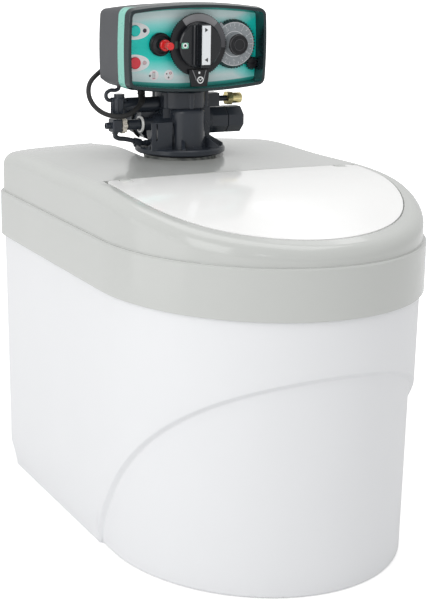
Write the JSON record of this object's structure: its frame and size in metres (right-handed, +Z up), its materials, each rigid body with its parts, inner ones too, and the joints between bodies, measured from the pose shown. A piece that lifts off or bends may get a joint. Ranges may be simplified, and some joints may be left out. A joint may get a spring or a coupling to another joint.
{
  "type": "water softener",
  "caption": "Compact cabinet water softener: D-shaped salt cabinet with hinged lid, resin tank, control valve and dial timer.",
  "frame": {"origin": "on the floor under the middle of the cabinet's width and depth", "axes": "+Z up, -Y towards the rounded front with the salt lid and the timer's dials, +X to the right seen from the front"},
  "size_m": [0.32, 0.498, 0.5192],
  "materials": {
    "tub_white": "satin white moulded plastic",
    "cover_grey": "warm light grey gloss plastic",
    "lid_white": "white gloss plastic",
    "black_nylon": "black glass-filled plastic",
    "housing_grey": "dark grey plastic",
    "hood_dark": "very dark green-grey plastic",
    "trim_mint": "pale mint plastic",
    "panel_green": "blue-green panel",
    "disc_black": "black dial plastic",
    "insert_white": "white marked inserts",
    "dial_clear": "clear dial ring",
    "clip_white": "white spring clip plastic",
    "star_cream": "cream plastic",
    "brass": "turned brass",
    "steel": "stainless steel",
    "rubber_black": "black rubber",
    "cable_black": "black cable jacket",
    "hose_black": "black flexible hose",
    "tank_grey": "glass fibre tank",
    "resin_amber": "amber resin beads",
    "well_white": "white tube plastic",
    "float_red": "red float plastic",
    "plunger_red": "red plastic",
    "start_green": "green push button",
    "stop_red": "red push button",
    "lens_amber": "small indicator lens",
    "board_green": "circuit board",
    "gear_cream": "cream gear plastic",
    "gear_teal": "dark teal dial plastic"
  },
  "bodies": {
    "cabinet": {"cabinet_tub": "tub_white", "cover": "cover_grey", "lid_hinge_pins": "steel", "resin_tank": "tank_grey", "tank_foot": "rubber_black", "resin_bed": "resin_amber", "riser_tube": "well_white", "bottom_strainer": "well_white", "top_strainer": "well_white", "neck_seal": "rubber_black", "brine_well": "well_white", "brine_safety_valve": "black_nylon", "pickup_tube": "well_white", "brine_hose": "hose_black", "valve_body": "black_nylon", "valve_bonnet": "black_nylon", "screws": "steel", "right_end_cap": "black_nylon", "drain_nut": "brass", "brine_barrel": "black_nylon", "brine_box": "black_nylon", "retaining_clip": "clip_white", "link_tube": "cable_black", "tube_clip": "black_nylon", "injector_housing": "black_nylon", "pilot_tube": "cable_black", "port_adapters": "black_nylon", "port_clips": "steel", "timer_housing": "housing_grey", "timer_hood": "hood_dark", "timer_trim": "trim_mint", "panel_plate": "panel_green", "index_pointer": "disc_black", "timer_motor": "steel", "plunger_collar": "disc_black", "indicator_lenses": "lens_amber", "switch_block": "black_nylon", "terminal_board": "board_green", "cable_loop": "cable_black", "cable_glands": "black_nylon"},
    "salt_lid": {"salt_lid": "lid_white"},
    "programme": {"programme_knob": "disc_black", "programme_disc": "disc_black", "knob_inserts": "insert_white", "programme_shaft": "steel", "programme_gear": "gear_cream", "timer_cams": "gear_cream"},
    "motor_rotor": {"motor_pinion": "steel"},
    "clock": {"clock_gear": "gear_teal", "clock_dial": "dial_clear", "clock_hub": "disc_black"},
    "setter": {"setting_wheel": "gear_teal"},
    "start": {"start_button": "start_green"},
    "stop": {"stop_button": "stop_red"},
    "reset_plunger": {"plunger": "plunger_red"},
    "brine_star": {"star_wheel": "star_cream"},
    "well_cap": {"brine_well_cap": "well_white"},
    "float": {"brine_float": "float_red"},
    "main_piston": {"piston": "steel", "piston_rings": "rubber_black"}
  },
  "joints": [
    {"name": "lid_hinge", "type": "hinge", "parent": "cabinet", "child": "salt_lid", "pos_m": [0, -0.0307, 0.35605], "axis": [-1, 0, 0], "range_deg": [0, 95]},
    {"name": "programme_turn", "type": "hinge", "parent": "cabinet", "child": "programme", "pos_m": [0.0029, 0.05, 0.477], "axis": [0, -1, 0], "continuous": true},
    {"name": "motor_turn", "type": "hinge", "parent": "cabinet", "child": "motor_rotor", "pos_m": [-0.03093, 0.0875, 0.46469], "axis": [0, -1, 0], "continuous": true},
    {"name": "clock_turn", "type": "hinge", "parent": "cabinet", "child": "clock", "pos_m": [0.0462, 0.065, 0.4766], "axis": [0, -1, 0], "continuous": true},
    {"name": "setter_turn", "type": "hinge", "parent": "cabinet", "child": "setter", "pos_m": [0.06887, 0.07, 0.45619], "axis": [0, -1, 0], "continuous": true},
    {"name": "start_press", "type": "slide", "parent": "cabinet", "child": "start", "axis": [0, 1, 0], "range_m": [0, 0.0015], "stiffness_N_per_m": 600, "springref_m": -0.001},
    {"name": "stop_press", "type": "slide", "parent": "cabinet", "child": "stop", "axis": [0, 1, 0], "range_m": [0, 0.0015], "stiffness_N_per_m": 600, "springref_m": -0.001},
    {"name": "plunger_press", "type": "slide", "parent": "cabinet", "child": "reset_plunger", "axis": [0, 1, 0], "range_m": [0, 0.004], "stiffness_N_per_m": 400, "springref_m": -0.001},
    {"name": "star_turn", "type": "hinge", "parent": "cabinet", "child": "brine_star", "pos_m": [-0.068, 0.092, 0.3947], "axis": [-1, 0, 0], "continuous": true},
    {"name": "cap_lift", "type": "slide", "parent": "cabinet", "child": "well_cap", "axis": [0, 0, 1], "range_m": [0, 0.02]},
    {"name": "float_rise", "type": "slide", "parent": "cabinet", "child": "float", "axis": [0, 0, 1], "range_m": [0, 0.146]},
    {"name": "piston_travel", "type": "slide", "parent": "cabinet", "child": "main_piston", "axis": [-1, 0, 0], "range_m": [0, 0.012]}
  ],
  "couplings": [
    {"joint": "motor_turn", "follows": "programme_turn", "ratio": -5},
    {"joint": "setter_turn", "follows": "clock_turn", "ratio": -4.0833}
  ]
}
